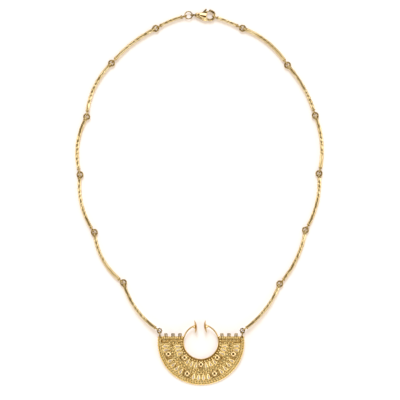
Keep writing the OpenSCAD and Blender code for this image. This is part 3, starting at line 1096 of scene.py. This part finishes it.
# The collars take the dark matt ground, partly as painted shade round each dome's foot.
mounted([stamped(collar(), stud_places)], "stud_collars", GROUND, smooth_deg=40)
mounted([stamped(dome(), stud_places)], "polished_studs", POLISHED, 50)
foot_ring = [
    place @ turn(FULL_TURN * i / RING_BEADS) @ shift(0.92 * COLLAR_R, 0, COLLAR_H)
    for place in stud_places for i in range(RING_BEADS)
]
mounted([granules(RING_BEAD, foot_ring)], "stud_foot_beads")

# %% [markdown]
# ## The open hoop
#
# The hoop is one polished wire, bent to a circle that stays open at the top. Each end swells to a
# cone that carries a thin dished disc. The wire is a spun circle of edges, and the cone and its
# disc are one piece of turning, from the cone's tip out along the hollow back, round the rim, and
# over the front.

# %% Hoop and dished ends
DISH_DEPTH, DISH_NECK = mm(1.0, 1.5)
HOOP_ENDS = ((LEFT_DISH, radians(5)), (RIGHT_DISH, radians(186)))
FRONT_R = (DISH_R * DISH_R + DISH_DEPTH * DISH_DEPTH) / (2 * DISH_DEPTH)
CONE_MM = [(0.1, -1.95), (0.36, -1.86), (0.49, -1.62), (0.5, -1.3), (0.62, -0.9), (0.8, -0.45)]
BACK_MM = [(1.02, 0.0), (1.22, 0.32), (1.5, 0.3), (2.0, 0.16), (2.6, -0.03), (3.1, -0.11)]
LIP_MM = [(3.27, -0.1), (3.34, -0.04), (3.35, 0.03)]


def dish():
    profile = [(r * MM, z * MM) for r, z in CONE_MM + BACK_MM + LIP_MM]
    for share in (0.985, 0.9, 0.75, 0.6, 0.45, 0.3, 0.15, 0.03):
        r = share * DISH_R
        profile.append((r, DISH_DEPTH - FRONT_R + sqrt(FRONT_R * FRONT_R - r * r)))
    return turned(profile, steps=56)


def hoop():
    """The wire from the left cone round under the middle to the right one, and both discs."""
    tips = [disc - Vector((cos(lean), sin(lean))) * DISH_NECK for disc, lean in HOOP_ENDS]
    start, end = (atan2(tip.y, tip.x) for tip in tips)
    wire = wire_ring(HOOP_R, HOOP_WIRE, start, FULL_TURN + end - start, 120, 20)
    sideways = turn(QUARTER, "Y")
    return [wire] + [placed(dish(), shift(*disc) @ turn(lean) @ sideways) for disc, lean in HOOP_ENDS]


mounted(hoop(), "polished_hoop", POLISHED, 50)

# %% [markdown]
# ## Wire loops and short ropes
#
# A fine wire outlines each slot. It is bent like a hairpin round two pegs: spun round the wide end,
# drawn straight to the narrow end, spun round that and drawn back. Short ropes lie between the
# slots like rays.

# %% Loops round the slots
LOOP_WIRE, LOOP_GAP = mm(0.48, 0.06)


def pear_loop(narrow, wide, reach):
    lean = acos((narrow - wide) / reach)
    start = (reach + wide * cos(lean), wide * sin(lean), 0)
    inward = Vector((-reach, 0, 0)) + (narrow - wide) * Vector((cos(lean), -sin(lean), 0))
    loop = wire_end(6, LOOP_WIRE, start, (QUARTER, 0, lean))
    with editing(loop):
        spin(9, 2 * lean, (reach, 0, 0))
        draw(inward)
        spin(5, FULL_TURN - 2 * lean)
        draw((-inward.x, inward.y, 0))
    return tidy_mesh(loop)


loops = [
    stamped(
        pear_loop(SLOT_NARROW + LOOP_GAP, wide + LOOP_GAP, far - near),
        [at(near, a) for a in both_sides(angles)],
    )
    for angles, near, far, wide in SLOT_ROWS
]
mounted(loops, "wires_round_slots", smooth_deg=60)

# %% Ropes between the slots
RAY_ROPE, RAY_LAY, RAY_RISE = mm(0.56, 1.9, 0.06)
RAY_ROWS = [
    ([0, 8.2, 38.5, 54.5, 80.6, 73.9, 88.0], *mm(17.0, 20.1)),
    ([6.6, 17.7, 28.8, 39.6, 56.4, 66.1, 75.4, 84.8], *mm(10.9, 14.0)),
]


def rays(angles, near, far):
    """A short rope for each of these angles, from one radius to the other."""
    places = [at((near + far) / 2, a, ON_PLATE + RAY_RISE) for a in sorted(set(both_sides(angles)))]
    return stamped(rope(far - near, RAY_ROPE, RAY_LAY), places)


mounted([rays(*row) for row in RAY_ROWS], "ropes_between_slots")

# %% [markdown]
# ## Granulation
#
# Where the ground would still be bare, it is sown with granules in close rows that follow the rim.
# Each row is laid out as an even circle and shaken a little, and a granule is left out where a
# slot, a rope or a stud already lies. Granulation is what makes the pendant sparkle, because every
# granule mirrors the whole room. `standing` lists what is there already, each thing as a line
# between two spots with its half width at both.

# %% Sowing the ground
LARGE_BEAD, SMALL_BEAD = mm(0.5, 0.3)
LOOP_REACH = LOOP_GAP + LOOP_WIRE / 2
# In bead radii: the room a granule needs, and the steps from row to row and along a row.
ROOM, ROW_STEP, BEAD_STEP = 0.75, 2.3, 2.5
SHAKEN = 0.06 * MM
standing = []


def spot(r, angle):
    return at(r, angle).translation.to_2d()


def takes(angles, near, far, narrow, wide):
    """Notes what lies along rays at these angles, from one radius to the other."""
    standing.extend((spot(near, a), spot(far, a), narrow, wide) for a in both_sides(angles))


def takes_round(middle, radius):
    """Notes something round: a very short line as wide as that."""
    standing.append((middle, middle + Vector((0.01 * MM, 0)), radius, radius))


def room(place):
    """How far a place on the plate lies from the nearest thing that stands there."""
    gaps = []
    for near, far, narrow, wide in standing:
        way = far - near
        along = min(1, max(0, (place - near).dot(way) / way.length_squared))
        gaps.append((place - near - along * way).length - narrow - along * (wide - narrow))
    return min(gaps)


def sown(places, bead, shaker=None):
    """Those of the places that have room for a granule. A shaker moves each a little."""
    kept = []
    for place in places:
        middle = place.translation.to_2d()
        if room(middle) > ROOM * bead:
            if shaker:
                place = shift(*[shaker.uniform(-SHAKEN, SHAKEN) for axis in "xy"]) @ place
            kept.append(place)
            takes_round(middle, bead)
    return kept


def circular_rows(first_r, last_r, bead):
    """Places in rows between two radii, under the top band."""
    first_r, last_r = first_r + bead, last_r - bead
    rows = round((last_r - first_r) / bead / ROW_STEP)
    for row in range(rows + 1):
        r = first_r + (last_r - first_r) * row / rows
        to_rail = 90 + degrees(asin((RAIL_Y - RAIL_ROPE / 2 - bead) / r))
        yield from along_circle(r, ON_PLATE, -to_rail, to_rail, BEAD_STEP * bead)


for angles, near, far, wide in SLOT_ROWS:
    takes(angles, near, far, SLOT_NARROW + LOOP_REACH, wide + LOOP_REACH)
for angles, near, far in RAY_ROWS:
    takes(angles, near, far, RAY_ROPE / 2, RAY_ROPE / 2)
for r, angle in STUD_PLACES:
    standing.append((spot(r, angle), spot(r + 0.1 * MM, angle), COLLAR_R, COLLAR_R))
shaker = random.Random(7)
sowings = []
for bead in (LARGE_BEAD, SMALL_BEAD):
    inner = circular_rows(INNER_EDGE + INNER_BEAD, BAND_IN - FINE_ROPE / 2, bead)
    outer = circular_rows(BAND_OUT + FINE_ROPE / 2, BORDER_IN - FINE_ROPE / 2, bead)
    places = sown([*inner, *outer], bead, shaker)
    sowings.append(granules(bead, places))
    print("granules of", round(2 * bead / MM, 2), "mm:", len(places))
mounted(sowings, "field_granules")

# %% [markdown]
# ## The band of zigzags
#
# The zigzag is a bent wire too. It is extruded corner by corner along X and then bent round the
# plate, with a granule in every triangle.

# %% Bending the zigzag
ZIGZAGS, ZIGZAG_SWEEP = 17, radians(170)
ZIGZAG_HALF, ZIGZAG_WIRE, ZIGZAG_RISE = mm(0.8, 0.55, 0.12)
BAND_MIDDLE = (BAND_IN + BAND_OUT) / 2
BAND_BEAD, TOWARD_BASE = mm(0.55, 0.36)


def zigzag_round():
    length = BAND_MIDDLE * ZIGZAG_SWEEP
    step = length / ZIGZAGS / 2
    wire = wire_end(8, ZIGZAG_WIRE, (-length / 2, -ZIGZAG_HALF, 0), (0, QUARTER, 0))
    with editing(wire):
        for i in range(2 * ZIGZAGS):
            draw((step, (2 if i % 2 == 0 else -2) * ZIGZAG_HALF, 0))
        closed_ends()
    return placed(bent(wire, ZIGZAG_SWEEP), shift(0, -BAND_MIDDLE, ON_PLATE + ZIGZAG_RISE))


half_step = degrees(ZIGZAG_SWEEP) / ZIGZAGS / 2
in_triangles = [
    at(BAND_MIDDLE + (TOWARD_BASE if i % 2 == 0 else -TOWARD_BASE), (i + 1 - ZIGZAGS) * half_step)
    for i in range(2 * ZIGZAGS - 1)
]
mounted([zigzag_round(), granules(BAND_BEAD, in_triangles)], "zigzag_band", smooth_deg=70)

# %% [markdown]
# ## The top band, the crown and the ears
#
# Two ropes close the plate's top, with a row of small rings between them, and granules are sown in
# straight rows wherever there is room. Above it stands a crown of bent loops, and at each end an
# ear that the chain hooks into, bound with fine wire at its foot.

# %% Rings between two ropes
RING_XS_MM = [11.5, 13.45, 15.4, 17.35, 19.3]
RING_Y, RING_R, RING_ROPE, RING_RISE = mm(0.9, 0.72, 0.54, 0.08)
TOP_ROPE, TOP_LAY, RAIL_LAY = mm(0.9, 2.2, 2.3)


def straight_rope(side, from_x, to_x, y, z, thick, lay):
    """Rope on one side of the pendant, twisted the other way on the other side."""
    middle = shift(side * (from_x + to_x) / 2, y, z)
    return placed(rope(to_x - from_x, thick, side * lay), middle)


top_band = []
for side in (LEFT, RIGHT):
    inner_x, outer_x = (sqrt(r * r - TOP_Y * TOP_Y) for r in (HOOP_R, RIM_R))
    top_band += [
        straight_rope(side, inner_x, outer_x, TOP_Y - 0.1 * MM, 0, TOP_ROPE, TOP_LAY),
        straight_rope(side, HOOP_R, RIM_R - 0.1 * MM, RAIL_Y, ON_PLATE, RAIL_ROPE, RAIL_LAY),
    ]
ring_places = [
    Vector((side * x * MM, RING_Y, ON_PLATE)) for side in (LEFT, RIGHT) for x in RING_XS_MM
]
ring = bent_rope(RING_R, FULL_TURN, RING_ROPE, FULL_TURN * RING_R / 5)
top_band.append(stamped(ring, [shift(x, y, z + RING_RISE) for x, y, z in ring_places]))
mounted(top_band, "top_band_wires")

# %% Granules in and between the rings
EYE_BEAD = 0.42 * MM
BAND_ROW_STEP, BAND_BEAD_STEP, RAIL_ROOM = 1.6, 0.5, 0.8
BAND_INNER, BAND_OUTER = INNER_EDGE + INNER_BEAD, BORDER_MID - BORDER_MID_WIRE / 2


def straight_rows(bead):
    """Places in straight rows between the rail and the top edge."""
    low, high = RAIL_Y + RAIL_ROPE / 2 + RAIL_ROOM * bead, TOP_Y - bead
    rows = round((high - low) / bead / BAND_ROW_STEP)
    for row in range(rows + 1):
        y = low + (high - low) * row / rows
        for i in range(round((BAND_OUTER - BAND_INNER) / bead / BAND_BEAD_STEP)):
            for side in (LEFT, RIGHT):
                middle = Vector((side * (BAND_INNER + i * BAND_BEAD_STEP * bead), y))
                if BAND_INNER + bead < middle.length < BAND_OUTER - bead:
                    yield shift(*middle, ON_PLATE)


for place in ring_places:
    takes_round(place.to_2d(), RING_R + RING_ROPE / 2)
band_beads = [granules(EYE_BEAD, [shift(*place) for place in ring_places])]
band_beads += [granules(bead, sown(straight_rows(bead), bead)) for bead in (LARGE_BEAD, SMALL_BEAD)]
mounted(band_beads, "top_band_granules")

# %% The crown's loops
TOOTH_XS_MM = [10.95, 14.65, 18.4]
TOOTH_H, TOOTH_FOOT, TOOTH_WIRE = mm(1.35, 0.4, 0.5)
PIN_HALF, PIN_APART = mm(0.32, 0.42)


def hairpin():
    """One upright loop of the crown, its feet a little under the top edge."""
    pin = wire_end(10, TOOTH_WIRE, (-PIN_HALF, -TOOTH_FOOT, 0), (QUARTER, 0, 0))
    with editing(pin):
        draw((0, TOOTH_H + TOOTH_FOOT, 0))
        spin(10, pi, (0, TOOTH_H, 0))
        draw((0, -TOOTH_H - TOOTH_FOOT, 0))
        closed_ends()
    return pin


feet = [
    shift(side * x * MM + apart, TOP_Y)
    for side in (LEFT, RIGHT) for x in TOOTH_XS_MM for apart in (-PIN_APART, PIN_APART)
]
# The loops are darkened as painted shade.
mounted([flamed(stamped(hairpin(), feet), lambda co: 0.8)], "crown_loops", POLISHED, smooth_deg=60)

# %% The ears
EAR_NECK, EAR_NECK_SHAPE = 0.9 * MM, [(0.5, 0), (0.5, 0.3), (0.4, 0.55), (0.46, 0.85), (0.5, 1)]
EAR_TURN_WIRE, EAR_TURNS = 0.27 * MM, range(-35, 36, 10)
CORNER_BEAD, DROP_BEAD = mm(0.45, 0.27)
NECK_INWARD, NECK_UNDER = mm(0.3, 0.6)


def ear(side):
    """A ring of rope on a waisted neck, eight turns of binding wire and two granules."""
    place = Vector((side * EAR_AT.x, EAR_AT.y, 0))
    at_ear = shift(*place)
    ring = placed(bent_rope(EAR_R, FULL_TURN, EAR_WIRE, side * FULL_TURN * EAR_R / 4), at_ear)
    corner = Vector((side * (EAR_AT.x - NECK_INWARD), TOP_Y - NECK_UNDER, 0))
    way = place - Vector((0, EAR_R, 0)) - corner
    neck = turned([(w * EAR_NECK, s * way.length) for w, s in EAR_NECK_SHAPE], steps=20)
    placed(neck, shift(*corner) @ way.to_track_quat("Z", "Y").to_matrix().to_4x4())
    bead = granules(CORNER_BEAD, [shift(*(corner + Vector((side * 0.1, 0.5, 0.2)) * MM))])
    binding = placed(wire_ring(EAR_WIRE / 2, EAR_TURN_WIRE, steps=16, sides=8), turn(QUARTER, "X"))
    places = [at_ear @ turn(radians(lean - 90)) @ shift(EAR_R) for lean in EAR_TURNS]
    away_from_chain = Vector((-side * 0.82, -0.57, 0)) * 0.42 * MM
    drop = granules(DROP_BEAD, [shift(*(place + away_from_chain))])
    # Every part of the ear is darkened as painted shade and painted dark reflection.
    return [flamed(part) for part in (ring, neck, bead, stamped(binding, places), drop)]


mounted(ear(LEFT) + ear(RIGHT), "ears", POLISHED)

# %% [markdown]
# ## Floor, light and camera
#
# The necklace was laid on a white table in a light tent and photographed from straight above. The
# tent is bright all round and dim overhead, where the camera looks in, so polished gold shows a
# dark middle between two bright sides. A world shader gives that tent. The table is overexposed in
# the photograph, so its paper glows a little by itself. The glow is warm and the lamp beyond the
# clasp is cool, so the paper is white in the lamp's light and beige in its short shadow.

# %% The table
table = fresh(bpy.ops.mesh.primitive_plane_add, size=4)
table.name = "white_table"
paper = Finish("white paper", (0.5, 0.5, 0.5), 0.8, metallic=0.0)
mottle = paper.noise(40 * MM, 2.0)
paper.feed("Base Color", paper.mixed(mottle, (0.54, 0.54, 0.54), (0.56, 0.56, 0.56)))
paper.shader.inputs["Specular IOR Level"].default_value = 0.1
paper.shader.inputs["Emission Color"].default_value = (1, 0.76, 0.56, 1)
paper.shader.inputs["Emission Strength"].default_value = 0.4
table.data.materials.append(paper.material)

# %% The tent
DIM_CONE, TENT_TOP = cos(radians(34)), cos(radians(50))
OPENING_AT = Vector((-0.12, 0.12, 1)).normalized()

# Four bright windows, dimmer corners, a warm dim opening overhead, brighter past the clasp.
world = bpy.data.worlds.new("light tent")
bpy.context.scene.world = world
world.use_nodes = True
sky = Graph(world.node_tree)
x, y, z = sky.split(sky.node("ShaderNodeTexCoord", out="Generated"))
across = (x * x - y * y) * (x * x - y * y)
level = (x * x + y * y) * (x * x + y * y)
window = (across / level).between(0.25, 0.8)
sides = 0.3 + z.between(-0.05, 0.25) * (0.8 + window * 1.05) + y * 0.22
toward = x * OPENING_AT.x + y * OPENING_AT.y + z * OPENING_AT.z
opening = toward.between(TENT_TOP, DIM_CONE)
background = world.node_tree.nodes["Background"]
sky.put(sky.mixed(opening, (1.0, 0.985, 0.955), (1.0, 0.72, 0.36)), background.inputs["Color"])
sky.put(sides * (1 - opening) + 0.16 * opening, background.inputs["Strength"])

# %% The lamp
# It is large, cool and soft, and stands beyond the clasp. The gold doesn't mirror it.
data = bpy.data.lights.new("soft lamp", "SUN")
data.energy = 2.8
data.angle = radians(24)
data.color = (0.8, 0.93, 1.1)
light = bpy.data.objects.new("soft_lamp", data)
bpy.context.collection.objects.link(light)
light.rotation_euler = (radians(-40), radians(-5), 0)
light.visible_glossy = False

# %% The camera
PHOTO_WIDTH, PHOTO_MIDDLE_Y = mm(210, -1.05)
LENS_MM, SENSOR_MM = 150, 36

data = bpy.data.cameras.new("camera")
data.lens = LENS_MM
data.sensor_width = SENSOR_MM
data.clip_start, data.clip_end = 0.01, 10
looking = bpy.data.objects.new("camera", data)
bpy.context.collection.objects.link(looking)
looking.location = (0, PHOTO_MIDDLE_Y, PHOTO_WIDTH * LENS_MM / SENSOR_MM)
bpy.context.scene.camera = looking
bpy.context.scene.view_settings.view_transform = "Standard"
